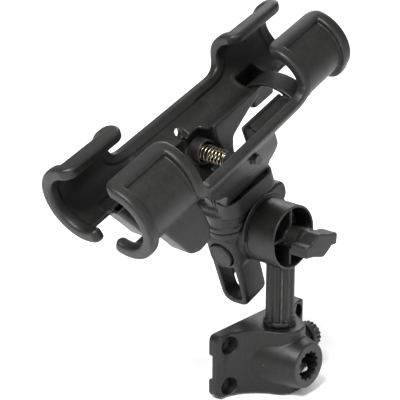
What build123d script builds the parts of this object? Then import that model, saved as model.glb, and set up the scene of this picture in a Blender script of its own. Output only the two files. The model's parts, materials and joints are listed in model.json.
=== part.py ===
"""Adjustable fishing rod holder: wall bracket, splined post, ratchet arm and spring jaws.

Millimetres, +Z up. The origin is the middle of the wall bracket's back face, the wall is on
the +Y side, and +X runs along the bracket. The arm and the head have frames of their own:
u runs along the rod, v is level and points at the wall, w stands on the cradle.
"""
import os
from math import cos, radians, sin

from build123d import *

# Wall bracket
PLATE_HALF_W = 47.5
PLATE_TOP = 24.0
PLATE_BOTTOM = -25.0
PLATE_T = 10.0
PLATE_CORNER_R = 6.0
PAD_RELIEF = 1.5
HOLE_HALF_X = 39.5
HOLE_HALF_Z = 16.0
HOLE_MID_Z = -1.0
HOLE_R = 3.3
COUNTERBORE_R = 6.0
COUNTERBORE_FLOOR = -5.0
TOWER_HALF_W = 16.5
TOWER_FRONT = -48.0
TOWER_ROOT_HALF_W = 36.0

# Splined sockets and post
POST_Y = -24.8
POST_R = 10.4
FLUTES = 12
FLUTE_AT = 10.9
FLUTE_R = 1.7
BORE_R = 10.8
RIB_R = 1.3
POST_FOOT = -20.0
COLLAR_R = 12.0
COLLAR_T = 4.0
SOCKET_Z = -2.0
SOCKET_MOUTH = -52.2
SOCKET_MOUTH_R = 16.8
SOCKET_ROOT_R = 20.0
SOCKET_FLOOR = -4.0
DRAIN_R = 4.5

# Post lock screw
LOCK_Z = 3.0
LOCK_R = 3.0
LOCK_HOLE_R = 3.05
LOCK_KNOB_R = 12.0
LOCK_FLANGE_R = 14.0
LOCK_BOSS_END = 27.0

# Ratchet
AXIS_Z = 92.5
DRUM_R = 23.4
DRUM_FRONT = -36.0
SEAM_Y = -12.0
SEAM_GAP = 0.3
POCKET_R = 21.6
POCKET_FLOOR = -20.0
HUB_R = 8.0
RIB_T = 2.2
TOOTH_COUNT = 24
TOOTH_IN_R = 12.0
TOOTH_OUT_R = 20.0
TOOTH_H = 0.9
BOLT_R = 4.0
BOLT_HOLE_R = 4.4

# Arm and head frames
TILT = 21.8
YAW = 2.6
ARM_Y = 8.0
SWIVEL_U = -13.0
SEAM_V = SEAM_Y - ARM_Y
SWIVEL_R = 18.0
SWIVEL_W = 13.0
PIVOT_R = 4.0
PIVOT_HOLE_R = 4.05

# Lever loop and its button
LOOP_U0 = -30.0
LOOP_U1 = -7.0
LOOP_HALF_V = 13.0
LOOP_BOTTOM = -54.0
BUTTON_W = -6.3
BUTTON_R = 8.2
BUTTON_HOLE_R = 8.6

# Head tray and jaw hinge
TRAY_U0 = -15.0
TRAY_U1 = 37.0
TRAY_HALF_V = 21.0
TRAY_W0 = 27.5
TRAY_W1 = 41.0
TRAY_WALL = 2.6
TRAY_CORNER_R = 10.0
HINGE_W = 39.0
HINGE_R = 2.5
KNUCKLE_BORE_R = 2.55
KNUCKLE_R = 5.5
STAND_U0 = -12.6
STAND_U1 = 33.4
STAND_T = 3.6
CLIP_T = 0.8

# Jaws: each is part of one round trough wall, whose centre stands off the middle
TROUGH_W = 99.4
TROUGH_V = 20.5
TROUGH_R = 25.5
SHELL_T = 3.4
RAIL_R = 4.5
REAR_U0 = -105.5
REAR_U1 = -57.0
FRONT_U0 = 65.0
FRONT_U1 = 110.3
MID_ANGLE = -25.0
MID_LOW_ANGLE = -78.0
SPRING_U = 9.0
SPRING_W = 62.0
SPRING_V0 = -6.0
SPRING_V1 = 18.0
SPRING_R = 5.7
WIRE_R = 0.55
SPRING_TURNS = 8
EYE_U = 7.0
EYE_W = 73.5
EYE_R = 3.6

ARM = Plane(
    origin=(0, ARM_Y, AXIS_Z),
    x_dir=(cos(radians(TILT)), 0, sin(radians(TILT))),
    z_dir=(-sin(radians(TILT)), 0, cos(radians(TILT))),
).location
HEAD = ARM * Pos(SWIVEL_U, 0, 0) * Rot(0, 0, -YAW)


def block(x0, x1, y0, y1, z0, z1):
    middle = Pos((x0 + x1) / 2, (y0 + y1) / 2, (z0 + z1) / 2)
    return middle * Box(x1 - x0, y1 - y0, z1 - z0)


def rod_x(r, x0, x1, y=0, z=0):
    return Pos((x0 + x1) / 2, y, z) * Rot(0, 90, 0) * Cylinder(r, x1 - x0)


def rod_y(r, y0, y1, x=0, z=0):
    return Pos(x, (y0 + y1) / 2, z) * Rot(90, 0, 0) * Cylinder(r, y1 - y0)


def rod_z(r, z0, z1, x=0, y=0):
    return Pos(x, y, (z0 + z1) / 2) * Cylinder(r, z1 - z0)


def tube_x(outer, inner, x0, x1, y=0, z=0):
    return rod_x(outer, x0, x1, y, z) - rod_x(inner, x0 - 1, x1 + 1, y, z)


def tube_y(outer, inner, y0, y1, x=0, z=0):
    return rod_y(outer, y0, y1, x, z) - rod_y(inner, y0 - 1, y1 + 1, x, z)


def fluted(radius, groove_r, length):
    """A prism with round grooves, standing on the XY plane."""
    face = Circle(radius)
    for spot in PolarLocations(FLUTE_AT, FLUTES):
        face -= spot * Circle(groove_r)
    return extrude(face, length)


def spline_bore(length):
    return fluted(BORE_R, RIB_R, length)


def hexagon(width, height):
    return extrude(RegularPolygon(width / 2, 6, major_radius=False), height)


def face_teeth(reach):
    """Radial teeth on a level ring, which stands on the XY plane."""
    teeth = Part()
    for spot in PolarLocations(0, TOOTH_COUNT):
        teeth += spot * block(TOOTH_IN_R, TOOTH_OUT_R, -1.1, 1.1, 0, reach)
    return teeth


# ---------------------------------------------------------------- wall bracket
def tower_outline():
    left = -TOWER_ROOT_HALF_W
    side = TOWER_HALF_W
    front = TOWER_FRONT
    back = 1 - PLATE_T
    return make_face(
        Curve()
        + [
            ThreePointArc((left, back), (-23.0, -20.0), (-side, -36.0)),
            Line((-side, -36.0), (-side, front + 7)),
            ThreePointArc((-side, front + 7), (2 - side, front + 2), (7 - side, front)),
            Line((7 - side, front), (side - 7, front)),
            ThreePointArc((side - 7, front), (side - 2, front + 2), (side, front + 7)),
            Line((side, front + 7), (side, -36.0)),
            ThreePointArc((side, -36.0), (23.0, -20.0), (-left, back)),
            Line((-left, back), (left, back)),
        ]
    )


def base_bracket():
    height = PLATE_TOP - PLATE_BOTTOM
    mid_z = (PLATE_TOP + PLATE_BOTTOM) / 2
    plate = Plane.XZ * Pos(0, mid_z) * RectangleRounded(2 * PLATE_HALF_W, height, PLATE_CORNER_R)
    body = extrude(plate, PLATE_T)
    body += Pos(0, 0, PLATE_BOTTOM) * extrude(tower_outline(), height)
    under = Pos(0, TOWER_FRONT - 2, PLATE_BOTTOM - 4) * Rot(35, 0, 0) * Box(200, 14, 40)
    body -= under
    boss_length = -34.0 - SOCKET_MOUTH
    boss = Cone(SOCKET_ROOT_R, SOCKET_MOUTH_R, boss_length)
    body += Pos(0, SOCKET_MOUTH + boss_length / 2, SOCKET_Z) * Rot(90, 0, 0) * boss
    body += rod_x(9.0, 10.0, LOCK_BOSS_END, POST_Y, LOCK_Z)
    for end in (-PLATE_HALF_W, PLATE_HALF_W):
        body -= block(end - 9, end + 9, -PAD_RELIEF, 1, -11, 8)
    body -= Pos(0, POST_Y, PLATE_BOTTOM - 1) * spline_bore(height + 2)
    socket = spline_bore(SOCKET_FLOOR - SOCKET_MOUTH + 1)
    body -= Pos(0, SOCKET_FLOOR, SOCKET_Z) * Rot(90, 0, 0) * socket
    body -= rod_x(LOCK_HOLE_R, 5, LOCK_BOSS_END + 1, POST_Y, LOCK_Z)
    body -= rod_x(LOCK_FLANGE_R + 0.8, LOCK_BOSS_END, 60, POST_Y, LOCK_Z)
    drain = Pos(0, -40, SOCKET_Z) * Rot(0, 135, 0) * Pos(0, 0, 12) * Cylinder(DRAIN_R, 24)
    body -= drain
    for x in (-HOLE_HALF_X, HOLE_HALF_X):
        for z in (HOLE_MID_Z - HOLE_HALF_Z, HOLE_MID_Z + HOLE_HALF_Z):
            body -= rod_y(HOLE_R, -20, 1, x, z)
            body -= rod_y(COUNTERBORE_R, -40, COUNTERBORE_FLOOR, x, z)
    return body


# ---------------------------------------------------------------- post lock screw
def post_lock_knob():
    start = LOCK_BOSS_END + 0.5
    knob = rod_x(LOCK_KNOB_R, start, start + 8, POST_Y, LOCK_Z)
    for step in range(18):
        angle = radians(step * 20)
        y = POST_Y + LOCK_KNOB_R * cos(angle)
        z = LOCK_Z + LOCK_KNOB_R * sin(angle)
        knob -= rod_x(1.3, start - 1, start + 8, y, z)
    knob += rod_x(LOCK_FLANGE_R, start + 8, start + 12, POST_Y, LOCK_Z)
    return knob - rod_x(LOCK_R, start - 1, start + 6, POST_Y, LOCK_Z)


def post_lock_screw():
    return rod_x(LOCK_R, POST_R + 0.6, LOCK_BOSS_END + 6.5, POST_Y, LOCK_Z)


# ---------------------------------------------------------------- post and outer ratchet half
def post_ratchet_half():
    drum = rod_y(DRUM_R, DRUM_FRONT, SEAM_Y - SEAM_GAP / 2, 0, AXIS_Z)
    body = drum + Pos(0, POST_Y, PLATE_TOP) * Cylinder(COLLAR_R, 2 * COLLAR_T)
    body -= rod_z(COLLAR_R + 1, PLATE_TOP - COLLAR_T - 1, PLATE_TOP, 0, POST_Y)
    post = fluted(POST_R, FLUTE_R, AXIS_Z - 12 - POST_FOOT)
    body += Pos(0, POST_Y, POST_FOOT) * post
    body -= rod_y(POCKET_R, DRUM_FRONT - 1, POCKET_FLOOR, 0, AXIS_Z)
    spokes = block(-RIB_T / 2, RIB_T / 2, -33, POCKET_FLOOR, AXIS_Z - 22, AXIS_Z + 22)
    spokes += block(-22, 22, -33, POCKET_FLOOR, AXIS_Z - RIB_T / 2, AXIS_Z + RIB_T / 2)
    body += spokes
    body += rod_y(HUB_R, -34, POCKET_FLOOR, 0, AXIS_Z)
    back = SEAM_Y - SEAM_GAP / 2
    body -= tube_y(TOOTH_OUT_R + 1, 10, back - 1.6, back + 1, 0, AXIS_Z)
    body += Pos(0, back - 1.6, AXIS_Z) * Rot(-90, 0, 0) * face_teeth(TOOTH_H)
    body -= rod_y(7.2, back - 4, back + 1, 0, AXIS_Z)
    body -= rod_y(BOLT_HOLE_R, -40, 0, 0, AXIS_Z)
    return body - block(-4, 4, POST_Y - 14, POST_Y - 9.5, PLATE_TOP - 1, PLATE_TOP + 2.5)


def ratchet_spring():
    """Wave spring between the two ratchet halves, round the clamp bolt."""
    back = SEAM_Y - SEAM_GAP / 2
    return tube_y(6.6, 5.2, back - 3.8, SEAM_Y + 3.2, 0, AXIS_Z)


# ---------------------------------------------------------------- clamp knob
def clamp_knob():
    stem = rod_y(6.6, -46, -35.0, 0, AXIS_Z)
    wing = Part()
    for side in (1, -1):
        lobe = Pos(side * 18, 0, side * 2.4) * RectangleRounded(17, 10, 2.5)
        wing += extrude(Plane.XZ * lobe, 12)
    wing += extrude(Plane.XZ * Circle(8.2), 12)
    wing += extrude(Plane.XZ * RectangleRounded(26, 9, 2), 12)
    knob = stem + Pos(0, -41.5, AXIS_Z) * Rot(0, 12, 0) * wing
    return knob - rod_y(BOLT_R, -50, -34, 0, AXIS_Z)


def clamp_washer():
    return tube_y(7.4, 4.3, -34.9, -34.1, 0, AXIS_Z)


def clamp_bolt():
    return rod_y(BOLT_R, -49.5, ARM_Y + 8, 0, AXIS_Z)


# ---------------------------------------------------------------- arm
def loop_slot():
    low = LOOP_BOTTOM + 9 + 6.5
    cut = Plane.YZ * Pos(0, BUTTON_W) * Circle(BUTTON_HOLE_R)
    slot = extrude(cut, 80, both=True)
    lower = Plane.YZ * Pos(0, (BUTTON_W + low) / 2) * Rectangle(13, BUTTON_W - low)
    slot += extrude(lower, 80, both=True)
    slot += extrude(Plane.YZ * Pos(0, low) * Circle(6.5), 80, both=True)
    return slot


def lever_loop():
    v = LOOP_HALF_V
    outline = make_face(
        Polyline((-v, 8), (v, 8), (v, -14), (10, LOOP_BOTTOM + 8), (-10, LOOP_BOTTOM + 8), (-v, -14), close=True)
    )
    loop = extrude(Plane.YZ.offset(LOOP_U0) * outline, LOOP_U1 - LOOP_U0)
    loop += rod_x(10, LOOP_U0, LOOP_U1, 0, LOOP_BOTTOM + 10)
    keep = block(LOOP_U0 - 1, LOOP_U0 + 12, -30, 30, LOOP_BOTTOM - 1, BUTTON_W)
    slot = loop_slot()
    return loop - slot.intersect(block(LOOP_U0 - 1, LOOP_U1 + 1, -30, 30, -70, -19)) - slot.intersect(keep)


def ratchet_arm():
    front = SEAM_V + SEAM_GAP / 2
    drum = rod_y(22.0, front, 12)
    body = drum + rod_y(27.0, front, front + 1.5)
    body += lever_loop()
    body += block(LOOP_U0, 6, -LOOP_HALF_V, LOOP_HALF_V, -14, 8)
    lug = block(10, 29, -4, 6, -6, 11) + rod_y(8.5, -4, 6, 29, 2.5)
    body += lug
    body -= rod_z(SWIVEL_R + 0.5, SWIVEL_W, 60, SWIVEL_U, 0)
    body += rod_z(SWIVEL_R, SWIVEL_W - 5, SWIVEL_W, SWIVEL_U, 0)
    body -= tube_y(TOOTH_OUT_R + 1, 10, front - 1, front + 1.6)
    body += Pos(0, front + 1.6, 0) * Rot(90, 0, 0) * face_teeth(TOOTH_H)
    body -= rod_y(7.2, front - 1, front + 3.4)
    body -= rod_y(BOLT_HOLE_R, -30, 30)
    body -= Pos(0, 4, 0) * Rot(-90, 0, 0) * hexagon(13.4, 20)
    body -= rod_x(BUTTON_HOLE_R, LOOP_U0 - 1, LOOP_U0 + 8, 0, BUTTON_W)
    body -= rod_x(3.3, LOOP_U0 + 7, LOOP_U0 + 13, 0, BUTTON_W)
    body -= rod_z(PIVOT_HOLE_R, -2, 20, SWIVEL_U, 0)
    return body


def clamp_nut():
    nut = Pos(0, 4.2, 0) * Rot(-90, 0, 0) * hexagon(13.0, 6.5)
    return nut - rod_y(BOLT_R + 0.05, 0, 20)


# ---------------------------------------------------------------- release button
def release_button():
    u = LOOP_U0
    cap = rod_x(BUTTON_R, u - 0.8, u + 3.4, 0, BUTTON_W)
    cap -= tube_x(6.6, 5.4, u - 1.8, u - 0.3, 0, BUTTON_W)
    return cap + rod_x(3.0, u + 3, u + 9.4, 0, BUTTON_W)


def button_spring():
    return tube_x(5.2, 4.2, LOOP_U0 + 3.4, LOOP_U0 + 8, 0, BUTTON_W)


# ---------------------------------------------------------------- swivel and head tray
def pivot_bolt():
    shank = rod_z(PIVOT_R, 2, TRAY_W0 + 3.8)
    return shank + rod_z(6.0, TRAY_W0 + 3.8, TRAY_W0 + 5.6)


def pivot_washer():
    return rod_z(7.6, TRAY_W0 + 3, TRAY_W0 + 3.8) - rod_z(PIVOT_R + 0.2, TRAY_W0, TRAY_W0 + 9)


def head_tray():
    mid = (TRAY_U0 + TRAY_U1) / 2
    length = TRAY_U1 - TRAY_U0
    outer = RectangleRounded(length, 2 * TRAY_HALF_V, TRAY_CORNER_R)
    wall = 2 * TRAY_WALL
    inner = RectangleRounded(length - wall, 2 * TRAY_HALF_V - wall, TRAY_CORNER_R - TRAY_WALL)
    tray = Pos(mid, 0, TRAY_W0) * extrude(outer, TRAY_W1 - TRAY_W0)
    tray -= Pos(mid, 0, TRAY_W0 + 3) * extrude(inner, TRAY_W1)
    tray -= block(TRAY_U0 - 1, TRAY_U0 + 4, -14, 14, TRAY_W0 + 4, TRAY_W1 + 1)
    for u in (STAND_U0, STAND_U1):
        tray += block(u, u + STAND_T, -6.5, 6.5, TRAY_W0, HINGE_W)
        tray += rod_x(6.5, u, u + STAND_T, 0, HINGE_W)
    tray -= rod_x(HINGE_R, TRAY_U0 - 1, TRAY_U1 + 1, 0, HINGE_W)
    return tray - rod_z(PIVOT_R + 0.4, 0, TRAY_W0 + 4)


def swivel_boss():
    """Round foot of the tray, which turns on the arm."""
    boss = rod_z(SWIVEL_R, SWIVEL_W + 0.3, SWIVEL_W + 5)
    boss += rod_z(SWIVEL_R - 0.8, SWIVEL_W + 5, TRAY_W0)
    return boss - rod_z(PIVOT_R + 0.4, 0, TRAY_W0 + 4)


def hinge_pin():
    return rod_x(HINGE_R, STAND_U0 - 1.4, STAND_U1 + STAND_T + 1.4, 0, HINGE_W)


def hinge_clips():
    clips = []
    for u in (STAND_U0 - CLIP_T, STAND_U1 + STAND_T):
        clips.append(tube_x(4.4, HINGE_R, u, u + CLIP_T, 0, HINGE_W))
    return Compound(clips)


# ---------------------------------------------------------------- jaws
def sector(side, low, high, outer, inner, u0, u1):
    """Part of a round trough wall, between two angles from the outward direction."""
    steps = max(2, int((high - low) / 15) + 1)
    reach = 60
    points = [(0.0, 0.0)]
    for step in range(steps + 1):
        angle = radians(low + (high - low) * step / steps)
        points.append((side * reach * cos(angle), reach * sin(angle)))
    wedge = make_face(Polyline(*points, close=True))
    ring = (Circle(outer) - Circle(inner)) & wedge
    middle = Plane.YZ.offset(u0) * Pos(side * TROUGH_V, TROUGH_W)
    return extrude(middle * ring, u1 - u0)


def on_trough(side, angle, u):
    v = side * (TROUGH_V + TROUGH_R * cos(radians(angle)))
    return (u, v, TROUGH_W + TROUGH_R * sin(radians(angle)))


def ball(side, angle, u):
    return Pos(*on_trough(side, angle, u)) * Sphere(RAIL_R)


def rim(side, low, high, u):
    """A round rail across the trough, with ball ends."""
    around = sector(side, low, high, TROUGH_R + RAIL_R, TROUGH_R - RAIL_R, u - RAIL_R, u + RAIL_R)
    middle = Pos(u, side * TROUGH_V, TROUGH_W) * Rot(0, 90, 0)
    bar = (middle * Torus(TROUGH_R, RAIL_R)) & around
    return bar + ball(side, low, u) + ball(side, high, u)


def rail(side, angle, u0, u1):
    _, v, w = on_trough(side, angle, 0)
    return rod_x(RAIL_R, u0, u1, v, w)


def jaw_shell(side):
    outer = TROUGH_R + SHELL_T / 2
    inner = TROUGH_R - SHELL_T / 2
    shell = sector(side, -90, 90, outer, inner, REAR_U0, REAR_U1)
    shell += sector(side, -90, 90, outer, inner, FRONT_U0, FRONT_U1)
    shell += sector(side, MID_LOW_ANGLE, MID_ANGLE, outer, inner, REAR_U1, FRONT_U0)
    shell += rim(side, -108, 90, REAR_U0)
    shell += rim(side, MID_ANGLE, 90, REAR_U1)
    shell += rim(side, MID_ANGLE, 90, FRONT_U0)
    shell += rim(side, -108, 90, FRONT_U1)
    shell += rail(side, 90, REAR_U0, REAR_U1)
    shell += rail(side, 90, FRONT_U0, FRONT_U1)
    shell += rail(side, MID_ANGLE, REAR_U1, FRONT_U0)
    return shell


def jaw_flank(side):
    """The web from the trough wall down to the hinge inside the tray."""
    face = make_face(
        Polyline(
            (side * 41, 82), (side * 33, 70), (side * 15, 45.5), (side * 11, 43.0),
            (side * 8.5, 45.5), (side * 11, 50), (side * 25, 72), (side * 30, 78), close=True,
        )
    )
    return extrude(Plane.YZ.offset(-20) * face, 54)


def knuckles(side, starts):
    """Hinge eyes round the pin, each with its own arm to the web."""
    parts = Part()
    for start, length in starts:
        parts += rod_x(KNUCKLE_R, start, start + length, 0, HINGE_W)
        arm = make_face(
            Polyline(
                (0, HINGE_W + 4.5), (0, HINGE_W), (side * 4.5, HINGE_W - 2), (side * 13.5, 44.5),
                (side * 11, 50), close=True,
            )
        )
        parts += extrude(Plane.YZ.offset(start) * arm, length)
    return parts


def keel(side):
    """Box below the rear trough that stiffens the jaw."""
    face = make_face(
        Polyline((-69, 76), (-58, 50), (-51, 40), (-43, 37), (-36, 41), (-30, 60), (-24, 76), close=True)
    )
    box = extrude(Plane.XZ.offset(-side * 8) * face, -side * 22)
    hollow = make_face(Polyline((-62, 78), (-54, 53), (-45, 41), (-40, 45), (-34, 78), close=True))
    box -= extrude(Plane.XZ.offset(-side * 11) * hollow, -side * 16)
    inside = rod_x(TROUGH_R - SHELL_T / 2, -80, -20, side * TROUGH_V, TROUGH_W)
    return box - inside


def right_jaw():
    side = -1
    jaw = jaw_shell(side) + jaw_flank(side) + knuckles(side, ((-3.6, 8.6), (14.0, 8.0))) + keel(side)
    jaw += rod_y(6.0, -24, SPRING_V0, SPRING_U, SPRING_W)
    jaw += rod_y(3.6, SPRING_V0, SPRING_V0 + 7, SPRING_U, SPRING_W)
    jaw -= rod_x(KNUCKLE_BORE_R, -30, 50, 0, HINGE_W)
    jaw -= rod_y(EYE_R, -60, -30, EYE_U, EYE_W)
    tongue = tongue_arc(-37, 36, 67.5, 83.5, 1.5)
    return jaw + tongue


def tongue_arc(low, high, u0, u1, half_t):
    """Curved strap about the hinge pin; angles run from straight up."""
    radius = 43.0
    points = [(0.0, 0.0)]
    for step in range(13):
        angle = radians(low + (high - low) * step / 12)
        points.append((60 * sin(angle), 60 * cos(angle)))
    wedge = make_face(Polyline(*points, close=True))
    ring = (Circle(radius + half_t) - Circle(radius - half_t)) & wedge
    return extrude(Plane.YZ.offset(u0) * Pos(0, HINGE_W) * ring, u1 - u0)


def stop_pin():
    return rod_y(EYE_R, -39, -34, EYE_U, EYE_W)


def left_jaw():
    side = 1
    jaw = jaw_shell(side) + jaw_flank(side) + knuckles(side, ((5.6, 7.8), (22.6, 5.4))) + keel(side)
    jaw += rod_y(7.0, SPRING_V1 - 3, 24, SPRING_U, SPRING_W)
    jaw -= rod_y(6.7, 0, SPRING_V1, SPRING_U, SPRING_W)
    jaw -= rod_x(KNUCKLE_BORE_R, -30, 50, 0, HINGE_W)
    jaw -= rod_y(EYE_R, 20, 70, EYE_U, EYE_W)
    return jaw - block(65.5, 85.5, 14, 33, 60, 84)


def jaw_spring():
    pitch = (SPRING_V1 - SPRING_V0 - 2 * WIRE_R) / SPRING_TURNS
    path = Helix(pitch, pitch * SPRING_TURNS, SPRING_R)
    section = Plane(path @ 0, z_dir=path % 0) * Circle(WIRE_R)
    coil = sweep(section, path=path, is_frenet=True)
    return Pos(SPRING_U, SPRING_V0 + WIRE_R, SPRING_W) * Rot(-90, 0, 0) * coil


WORLD_PARTS = {
    "base_bracket": base_bracket,
    "post_lock_knob": post_lock_knob,
    "post_lock_screw": post_lock_screw,
    "post_ratchet_half": post_ratchet_half,
    "ratchet_spring": ratchet_spring,
    "clamp_knob": clamp_knob,
    "clamp_washer": clamp_washer,
    "clamp_bolt": clamp_bolt,
}
ARM_PARTS = {
    "ratchet_arm": ratchet_arm,
    "clamp_nut": clamp_nut,
    "release_button": release_button,
    "button_spring": button_spring,
}
HEAD_PARTS = {
    "head_tray": head_tray,
    "swivel_boss": swivel_boss,
    "pivot_bolt": pivot_bolt,
    "pivot_washer": pivot_washer,
    "hinge_pin": hinge_pin,
    "hinge_clips": hinge_clips,
    "right_jaw": right_jaw,
    "stop_pin": stop_pin,
    "left_jaw": left_jaw,
    "jaw_spring": jaw_spring,
}

os.makedirs("parts", exist_ok=True)
for place, group in ((Location(), WORLD_PARTS), (ARM, ARM_PARTS), (HEAD, HEAD_PARTS)):
    for name, make in group.items():
        export_step(place * make(), f"parts/{name}.step")
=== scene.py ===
"""Adjustable rod holder: moulded shapes, coil springs, materials, light and camera.

Every plastic piece is a signed distance field on a fine grid, blended with fillets as in a
mould, and turned into a mesh of quads. Local frames are in millimetres, as in the CAD source:
the arm and the head have u along the rod, v level towards the wall and w upwards.
"""
import json
from math import cos, pi, radians, sin

import bpy
import numpy as np
from mathutils import Matrix, Vector


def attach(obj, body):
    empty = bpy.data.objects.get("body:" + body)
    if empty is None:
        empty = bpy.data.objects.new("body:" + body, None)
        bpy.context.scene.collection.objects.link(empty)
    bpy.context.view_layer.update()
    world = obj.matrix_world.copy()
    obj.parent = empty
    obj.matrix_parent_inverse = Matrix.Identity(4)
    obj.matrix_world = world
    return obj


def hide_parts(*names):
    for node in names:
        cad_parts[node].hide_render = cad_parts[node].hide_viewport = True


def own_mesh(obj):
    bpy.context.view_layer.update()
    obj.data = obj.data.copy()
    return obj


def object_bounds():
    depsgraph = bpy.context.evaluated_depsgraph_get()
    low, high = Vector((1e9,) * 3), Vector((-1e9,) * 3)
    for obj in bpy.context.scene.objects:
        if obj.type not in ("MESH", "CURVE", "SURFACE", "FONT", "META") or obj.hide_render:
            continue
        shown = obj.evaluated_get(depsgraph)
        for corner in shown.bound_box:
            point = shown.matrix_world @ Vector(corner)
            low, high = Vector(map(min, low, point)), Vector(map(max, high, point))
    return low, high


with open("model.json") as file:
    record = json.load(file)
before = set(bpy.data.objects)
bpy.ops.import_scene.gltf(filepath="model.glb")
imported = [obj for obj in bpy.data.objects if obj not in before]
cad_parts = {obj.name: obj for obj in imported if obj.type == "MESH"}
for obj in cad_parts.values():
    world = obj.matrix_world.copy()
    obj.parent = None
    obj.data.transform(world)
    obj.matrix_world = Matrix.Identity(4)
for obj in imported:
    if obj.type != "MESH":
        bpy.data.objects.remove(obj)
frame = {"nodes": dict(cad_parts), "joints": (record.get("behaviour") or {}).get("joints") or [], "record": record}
cad_low, cad_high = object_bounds()

MM = 0.001
FAR = 30.0
FINE = 0.6

# ---------------------------------------------------------------- local frames
JOINTS = {joint["name"]: joint for joint in frame["joints"]}


def local_frame(origin, along, up):
    """A frame whose first axis is along and whose third is up, in millimetres."""
    x, z = Vector(along).normalized(), Vector(up).normalized()
    y = z.cross(x)
    turn = Matrix((x, y, z)).transposed().to_4x4()
    return Matrix.Translation(origin) @ turn @ Matrix.Scale(MM, 4)


WORLD = Matrix.Scale(MM, 4)
TILT_POINT = Vector(JOINTS["ratchet_tilt"]["pos_m"])
SWIVEL_AXIS = Vector(JOINTS["head_swivel"]["axis"])
ARM_ALONG = Vector((0, 1, 0)).cross(SWIVEL_AXIS)
JAW_AXIS = Vector(JOINTS["right_jaw_close"]["axis"])
HINGE_W = 39.0
ARM = local_frame(TILT_POINT, ARM_ALONG, SWIVEL_AXIS)
SWIVEL_U = -13.0
HEAD_ORIGIN = TILT_POINT + ARM_ALONG.normalized() * SWIVEL_U * MM
HEAD = local_frame(HEAD_ORIGIN, -JAW_AXIS, SWIVEL_AXIS)


# ---------------------------------------------------------------- distance fields
def smooth_min(a, b, reach):
    if reach <= 0:
        return np.minimum(a, b)
    h = np.clip(0.5 + 0.5 * (b - a) / reach, 0, 1)
    return b + (a - b) * h - reach * h * (1 - h)


def rim(a, b, edge):
    """Distance to where a and b are both below edge, with that radius where they meet."""
    return np.sqrt(np.maximum(a, 0) ** 2 + np.maximum(b, 0) ** 2) + np.minimum(np.maximum(a, b), 0) - edge


CORNERS = np.array([(i, j, k) for i in (0, 1) for j in (0, 1) for k in (0, 1)])
EDGES = [(a, b) for a in range(8) for b in range(a + 1, 8) if abs(CORNERS[a] - CORNERS[b]).sum() == 1]


class Field:
    """Distance to a solid on a grid. A shape is (low corner, high corner, function of x, y, z)."""

    def __init__(self, low, high, step):
        self.step = step
        self.low = np.array(low, float) - 3 * step
        self.count = np.ceil((np.array(high) + 3 * step - self.low) / step).astype(int) + 1
        self.d = np.full(self.count, FAR, np.float32)

    def axis(self, i, cut=slice(None)):
        return (self.low[i] + self.step * np.arange(self.count[i]))[cut].astype(np.float32)

    def window(self, low, high, reach):
        """The part of the grid within reach of a box, and its coordinates."""
        cuts = []
        for i in range(3):
            a = int((low[i] - reach - self.low[i]) / self.step)
            b = int((high[i] + reach - self.low[i]) / self.step) + 2
            cuts.append(slice(max(0, a), max(0, min(int(self.count[i]), b))))
        x, y, z = (self.axis(i, cuts[i]) for i in range(3))
        return tuple(cuts), x[:, None, None], y[None, :, None], z[None, None, :]

    def add(self, shape, blend=1.0):
        cuts, x, y, z = self.window(shape[0], shape[1], 2 * blend + 2 * self.step)
        self.d[cuts] = smooth_min(self.d[cuts], shape[2](x, y, z).astype(np.float32), blend)

    def cut(self, shape, blend=0.8):
        cuts, x, y, z = self.window(shape[0], shape[1], 2 * blend + 2 * self.step)
        self.d[cuts] = -smooth_min(-self.d[cuts], shape[2](x, y, z).astype(np.float32), blend)

    def quads(self):
        """Vertices and quads of the zero surface, by surface nets."""
        d = self.d
        inside = d < 0
        n = d.shape
        total = np.zeros([m - 1 for m in n], np.uint8)
        for i, j, k in CORNERS:
            total += inside[i:n[0] - 1 + i, j:n[1] - 1 + j, k:n[2] - 1 + k]
        active = (total > 0) & (total < 8)
        cells = np.argwhere(active)
        index = np.full(active.shape, -1, np.int64)
        index[active] = np.arange(len(cells))
        value = np.stack([d[tuple((cells + c).T)] for c in CORNERS], 1)
        place = np.zeros((len(cells), 3))
        hits = np.zeros(len(cells))
        for a, b in EDGES:
            va, vb = value[:, a], value[:, b]
            cross = (va < 0) != (vb < 0)
            t = np.where(cross, va / np.where(cross, va - vb, 1), 0)[:, None]
            place += np.where(cross[:, None], CORNERS[a] + t * (CORNERS[b] - CORNERS[a]), 0)
            hits += cross
        verts = self.low + self.step * (cells + place / hits[:, None])
        faces = []
        for axis in range(3):
            p, q = (axis + 1) % 3, (axis + 2) % 3
            low, high = [slice(1, -1)] * 3, [slice(1, -1)] * 3
            low[axis], high[axis] = slice(0, -1), slice(1, None)
            first, second = inside[tuple(low)], inside[tuple(high)]
            offset = np.ones(3, int)
            offset[axis] = 0
            for keep, order in ((first & ~second, 1), (~first & second, -1)):
                at = np.argwhere(keep) + offset
                corners = []
                for dp, dq in ((-1, -1), (0, -1), (0, 0), (-1, 0))[::order]:
                    cell = at.copy()
                    cell[:, p] += dp
                    cell[:, q] += dq
                    corners.append(index[tuple(cell.T)])
                faces.append(np.stack(corners, 1))
        return verts, np.concatenate(faces)


def merge(field, other, blend):
    """Adds a smaller grid of the same spacing to a field."""
    start = np.round((other.low - field.low) / field.step).astype(int)
    cuts, theirs = [], []
    for i in range(3):
        a, b = max(0, start[i]), min(field.count[i], start[i] + other.count[i])
        cuts.append(slice(a, b))
        theirs.append(slice(a - start[i], b - start[i]))
    cuts, theirs = tuple(cuts), tuple(theirs)
    field.d[cuts] = smooth_min(field.d[cuts], other.d[theirs], blend)


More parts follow.
